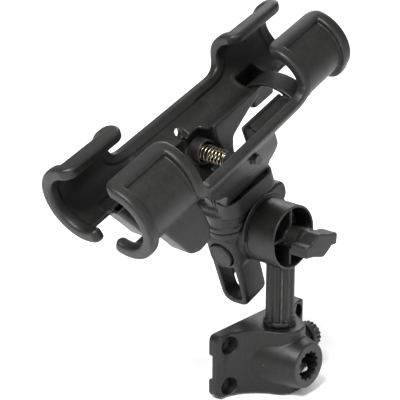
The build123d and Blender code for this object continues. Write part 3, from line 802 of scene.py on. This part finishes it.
def bracket():
    room = (-51, -54, PLATE_BOTTOM - 1), (51, 1, PLATE_TOP + 1)
    field = Field(*room, FINE * 0.85)
    box = (-PLATE_HALF_W, PLATE_HALF_W, -50, 0)
    field.add(prism(2, polygon(bracket_plan()), box, PLATE_BOTTOM, PLATE_TOP, 1.8), 0)
    corner = plate(-PLATE_HALF_W, PLATE_HALF_W, PLATE_BOTTOM, PLATE_TOP, 6.0)
    outside = prism(1, lambda a, b: -corner(a, b), (-60, 60, -40, 40), -70, 20, 0)
    field.cut(outside, 1.0)
    under = block(-60, 60, -57, -43, PLATE_BOTTOM - 24, PLATE_BOTTOM + 16, 1, 0.5)
    field.cut(turned(under, 0, 35, (0, -50, -29)), 3.0)
    root = Field(*room, FINE * 0.85)
    root.add(cone(1, 0, SOCKET_Z, SOCKET_MOUTH, 16.8, -17.0, 26.0, 0.9), 0)
    root.cut(block(-60, 60, -60, 10, PLATE_BOTTOM - 20, PLATE_BOTTOM, 1, 0.1), 1.0)
    root.cut(block(-60, 60, -60, 10, PLATE_TOP - 0.4, PLATE_TOP + 9, 1, 0.1), 1.0)
    field.d = smooth_min(field.d, root.d, 0.8)
    field.add(disc(0, POST_Y, LOCK_Z, 9.0, 8, LOCK_BOSS_END, 0.8), 3.0)
    for end in (-PLATE_HALF_W, PLATE_HALF_W):
        field.cut(block(end - 9, end + 9, -3.2, 4, -11, 8, 2, 0.4), 0.8)
    post_bore = (-11, 11, POST_Y - 11, POST_Y + 11)
    field.cut(prism(2, ribbed(0, POST_Y), post_bore, PLATE_BOTTOM - 9, PLATE_TOP + 9, 0.2), 0.6)
    front_bore = (-11, 11, SOCKET_Z - 11, SOCKET_Z + 11)
    field.cut(prism(1, ribbed(0, SOCKET_Z), front_bore, -70, -4, 0.2), 0.6)
    field.cut(disc(0, POST_Y, LOCK_Z, 3.05, 5, 40, 0.2), 0.3)
    field.cut(disc(0, POST_Y, LOCK_Z, 12.6, LOCK_BOSS_END, 80, 0.2), 0.5)
    for x, z in HOLES:
        field.cut(disc(1, x, z, 3.3, -40, 9, 0.3), 0.5)
        field.cut(cone(1, x, z, -40, 9.5, -5, 6.0, 0.2), 0.7)
    drain = turned(disc(2, 0, -40, 4.5, SOCKET_Z, SOCKET_Z + 30, 0.2), 1, 135, (0, -40, SOCKET_Z))
    field.cut(drain, 0.8)
    piece = moulded("bracket_moulded", field, WORLD)
    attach(piece, "base")
    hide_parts("base_bracket")
    return piece


def ribbed(a0, b0):
    """A splined bore: a circle with twelve ribs standing into it."""
    def profile(a, b):
        away = np.sqrt((a - a0) ** 2 + (b - b0) ** 2)
        turn = 2 * pi / FLUTES
        angle = (np.arctan2(b - b0, a - a0) + turn / 2) % turn - turn / 2
        rib = np.sqrt((away * np.cos(angle) - 10.9) ** 2 + (away * np.sin(angle)) ** 2) - 1.35
        return np.maximum(away - 10.8, -rib)
    return profile


# ---------------------------------------------------------------- springs
def wire(name, points, radius, place, body, node):
    """A round wire along a line of points."""
    curve = bpy.data.curves.new(name, "CURVE")
    curve.dimensions = "3D"
    curve.bevel_depth = radius * MM
    curve.bevel_resolution = 4
    curve.use_fill_caps = True
    spline = curve.splines.new("POLY")
    spline.points.add(len(points) - 1)
    for point, target in zip(spline.points, points):
        point.co = (*(place @ Vector(target)), 1)
    shown = bpy.data.objects.new(name, curve)
    bpy.context.scene.collection.objects.link(shown)
    mesh = bpy.data.meshes.new_from_object(shown.evaluated_get(bpy.context.evaluated_depsgraph_get()))
    bpy.data.objects.remove(shown)
    piece = bpy.data.objects.new(name, mesh)
    bpy.context.scene.collection.objects.link(piece)
    mesh.shade_smooth()
    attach(piece, body)
    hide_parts(node)
    return piece


def coil(start, end, radius, turns, wire_r, per_turn=40):
    """A compression spring along v from start to end, with closed end turns."""
    points = []
    closed = 1.0
    free = end - start - 2 * wire_r * (1 + 2 * closed)
    total = turns + 2 * closed
    for step in range(int(total * per_turn) + 1):
        turn = step / per_turn
        rise = wire_r + 2 * wire_r * min(turn, closed)
        rise += free * min(max(turn - closed, 0), turns) / turns
        rise += 2 * wire_r * max(turn - closed - turns, 0)
        angle = 2 * pi * turn + 0.6
        points.append((radius * cos(angle), start + rise, radius * sin(angle)))
    return points


def springs():
    turns = coil(SPRING_V0, SPRING_V1, SPRING_R, 6.5, 0.5)
    jaw_points = [(x + SPRING_U, y, z + SPRING_W) for x, y, z in turns]
    spring = wire("jaw_coil", jaw_points, 0.5, HEAD, "right_jaw", "jaw_spring")
    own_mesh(spring)
    start = LOOP_U0 + 3.4
    button_points = [(y, x, z + BUTTON_W) for x, y, z in coil(start, LOOP_U0 + 8, 4.6, 3, 0.4)]
    button_coil = wire("button_coil", button_points, 0.4, ARM, "arm", "button_spring")
    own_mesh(button_coil)
    back = SEAM_Y - 3.9
    wave_points = [(x, y, z + AXIS_Z) for x, y, z in coil(back, SEAM_Y + 3.1, 5.9, 3, 0.6)]
    wave = wire("ratchet_coil", wave_points, 0.6, WORLD, "post", "ratchet_spring")
    return spring, button_coil, wave


# ---------------------------------------------------------------- materials
class Nodes:
    """A small helper that adds nodes to one material."""

    def __init__(self, name):
        self.material = bpy.data.materials.new(name)
        self.material.use_nodes = True
        self.tree = self.material.node_tree
        self.shader = self.tree.nodes["Principled BSDF"]
        self.place = self.tree.nodes.new("ShaderNodeTexCoord").outputs["Object"]

    def link(self, source, target):
        self.tree.links.new(source, target)

    def noise(self, scale, detail=2.0, stretch=None, roughness=0.5, distortion=0.0):
        node = self.tree.nodes.new("ShaderNodeTexNoise")
        node.inputs["Scale"].default_value = scale
        node.inputs["Detail"].default_value = detail
        node.inputs["Roughness"].default_value = roughness
        node.inputs["Distortion"].default_value = distortion
        source = self.place
        if stretch:
            mapping = self.tree.nodes.new("ShaderNodeMapping")
            mapping.inputs["Scale"].default_value = stretch
            self.link(source, mapping.inputs["Vector"])
            source = mapping.outputs["Vector"]
        self.link(source, node.inputs["Vector"])
        return node.outputs["Fac"]

    def spread(self, source, low, high, to_low=0.0, to_high=1.0):
        node = self.tree.nodes.new("ShaderNodeMapRange")
        for name, value in (("From Min", low), ("From Max", high), ("To Min", to_low), ("To Max", to_high)):
            node.inputs[name].default_value = value
        self.link(source, node.inputs["Value"])
        return node.outputs["Result"]

    def math(self, kind, a, b):
        node = self.tree.nodes.new("ShaderNodeMath")
        node.operation = kind
        for socket, value in zip(node.inputs, (a, b)):
            if isinstance(value, (int, float)):
                socket.default_value = value
            else:
                self.link(value, socket)
        return node.outputs[0]

    def mix(self, share, a, b):
        node = self.tree.nodes.new("ShaderNodeMix")
        node.data_type = "RGBA"
        self.link(share, node.inputs["Factor"])
        for socket, value in zip((node.inputs[6], node.inputs[7]), (a, b)):
            if isinstance(value, tuple):
                socket.default_value = (*value, 1)
            else:
                self.link(value, socket)
        return node.outputs[2]

    def edges(self, low, high):
        geometry = self.tree.nodes.new("ShaderNodeNewGeometry")
        return self.spread(geometry.outputs["Pointiness"], low, high)

    def bump(self, height, distance, strength=1.0):
        node = self.tree.nodes.new("ShaderNodeBump")
        node.inputs["Strength"].default_value = strength
        node.inputs["Distance"].default_value = distance
        self.link(height, node.inputs["Height"])
        self.link(node.outputs["Normal"], self.shader.inputs["Normal"])


def nylon(name, dark=(0.0025, 0.0025, 0.0024), light=(0.011, 0.0108, 0.0102)):
    """Black glass-filled nylon: fine fibre mottling, satin grain and rubbed edges."""
    nodes = Nodes(name)
    grain = nodes.noise(1500, 4, roughness=0.65)
    fibre = nodes.noise(420, 3, stretch=(1, 1, 0.45), distortion=0.6)
    cloud = nodes.noise(38, 3)
    mottle = nodes.math("ADD", nodes.math("MULTIPLY", grain, 0.55), nodes.math("MULTIPLY", fibre, 0.45))
    base = nodes.mix(nodes.spread(mottle, 0.33, 0.68), dark, light)
    tone = nodes.mix(nodes.spread(cloud, 0.3, 0.7), (0.85, 0.85, 0.86), (1.12, 1.11, 1.09))
    blend = nodes.tree.nodes.new("ShaderNodeMix")
    blend.data_type = "RGBA"
    blend.blend_type = "MULTIPLY"
    blend.inputs["Factor"].default_value = 1.0
    nodes.link(base, blend.inputs[6])
    nodes.link(tone, blend.inputs[7])
    worn = nodes.math("MULTIPLY", nodes.edges(0.515, 0.60), nodes.spread(fibre, 0.35, 0.65, 0.25, 0.8))
    nodes.link(nodes.mix(worn, blend.outputs[2], (0.06, 0.0595, 0.058)), nodes.shader.inputs["Base Color"])
    satin, patches = nodes.spread(grain, 0.3, 0.7, 0.36, 0.52), nodes.spread(cloud, 0.3, 0.7, -0.05, 0.06)
    nodes.link(nodes.math("ADD", satin, patches), nodes.shader.inputs["Roughness"])
    nodes.shader.inputs["Specular IOR Level"].default_value = 0.3
    nodes.bump(mottle, 0.00016, 0.7)
    return nodes.material


def metal(name, dark, light, rough, stretch, scale=900):
    """Bare metal with drawing or turning marks along one direction."""
    nodes = Nodes(name)
    marks = nodes.noise(scale, 4, stretch=stretch, roughness=0.6)
    stain = nodes.noise(160, 3)
    color = nodes.mix(nodes.spread(stain, 0.35, 0.7), light, dark)
    nodes.link(color, nodes.shader.inputs["Base Color"])
    nodes.shader.inputs["Metallic"].default_value = 1.0
    nodes.link(nodes.spread(marks, 0.3, 0.7, rough - 0.07, rough + 0.1), nodes.shader.inputs["Roughness"])
    nodes.bump(marks, 0.00003, 0.5)
    return nodes.material


def paint(piece, material):
    piece.data.materials.clear()
    piece.data.materials.append(material)


# ---------------------------------------------------------------- making the holder
steel = metal("stainless_finish", (0.32, 0.32, 0.33), (0.62, 0.62, 0.63), 0.3, (1, 8, 1))
bright_wire = metal("spring_wire_finish", (0.24, 0.20, 0.15), (0.52, 0.45, 0.35), 0.26, (6, 1, 6))
spring_finish = metal("spring_steel_finish", (0.2, 0.2, 0.21), (0.5, 0.5, 0.52), 0.3, (1, 6, 1))
black_oxide = metal("black_oxide_finish", (0.03, 0.03, 0.032), (0.07, 0.07, 0.072), 0.42, (1, 6, 1))
black_nylon = nylon("nylon_finish")

for piece in (
    jaw(-1), jaw(1), head_tray(), ratchet_arm(), release_button(),
    post(), clamp_knob(), lock_knob(), bracket(),
):
    paint(piece, black_nylon)
coils = springs()
paint(coils[0], bright_wire)
paint(coils[1], spring_finish)
paint(coils[2], spring_finish)
SLOT_FINISH = {
    "glass_filled_nylon": black_nylon,
    "stainless": steel,
    "spring_steel": spring_finish,
    "jaw_spring_wire": bright_wire,
}
BLACKENED = ("hinge_pin", "hinge_clips", "pivot_bolt", "pivot_washer")
for part in frame["record"]["subparts"]:
    finish = black_oxide if part["node"] in BLACKENED else SLOT_FINISH[part["material_slot"]]
    paint(frame["nodes"][part["node"]], finish)


# ---------------------------------------------------------------- studio
def floor():
    size = 6.0
    level = cad_low.z - 0.001
    verts = np.array([(-size, -size, level), (size, -size, level), (size, size, level), (-size, size, level)])
    piece = mesh_object("floor", verts, np.array([(0, 1, 2, 3)]), Matrix.Identity(4))
    nodes = Nodes("floor_finish")
    cloud = nodes.noise(1.5, 2)
    nodes.link(nodes.mix(cloud, (0.95, 0.95, 0.95), (0.98, 0.98, 0.98)), nodes.shader.inputs["Base Color"])
    nodes.shader.inputs["Roughness"].default_value = 0.9
    paint(piece, nodes.material)


def soft_light(name, place, target, size, power):
    lamp = bpy.data.lights.new(name, "AREA")
    lamp.shape = "RECTANGLE"
    lamp.size, lamp.size_y = size
    lamp.energy = power
    piece = bpy.data.objects.new(name, lamp)
    piece.location = place
    piece.rotation_euler = (Vector(target) - Vector(place)).to_track_quat("-Z", "Y").to_euler()
    bpy.context.scene.collection.objects.link(piece)


def studio():
    floor()
    world = bpy.data.worlds.new("studio")
    world.use_nodes = True
    world.node_tree.nodes["Background"].inputs["Color"].default_value = (1, 1, 1, 1)
    world.node_tree.nodes["Background"].inputs["Strength"].default_value = 0.52
    bpy.context.scene.world = world
    bpy.context.scene.view_settings.view_transform = "Standard"
    middle = (-0.02, 0.0, 0.11)
    soft_light("key", (-0.9, -0.2, 1.3), middle, (0.7, 0.5), 44)
    soft_light("fill", (-0.2, -1.3, 0.5), middle, (1.0, 0.8), 7)
    soft_light("rim", (0.9, 0.6, 0.9), middle, (0.8, 0.6), 9)


def camera():
    """The photograph's view: a long lens from the front left, a little above."""
    lens = bpy.data.cameras.new("camera")
    lens.lens, lens.sensor_width = 180.0, 36.0
    piece = bpy.data.objects.new("camera", lens)
    azimuth, elevation, roll, distance = radians(-49.56), radians(20.11), radians(0.31), 1.44
    back = Vector((sin(azimuth) * cos(elevation), -cos(azimuth) * cos(elevation), sin(elevation)))
    right = Vector((cos(azimuth), sin(azimuth), 0))
    up = back.cross(right)
    right, up = right * cos(roll) + up * sin(roll), up * cos(roll) - right * sin(roll)
    turn = Matrix((right, up, back)).transposed().to_4x4()
    target = Vector((-0.01445, 0.0387, 0.10645))
    piece.matrix_world = Matrix.Translation(target + back * distance) @ turn
    bpy.context.scene.collection.objects.link(piece)
    bpy.context.scene.camera = piece


studio()
camera()
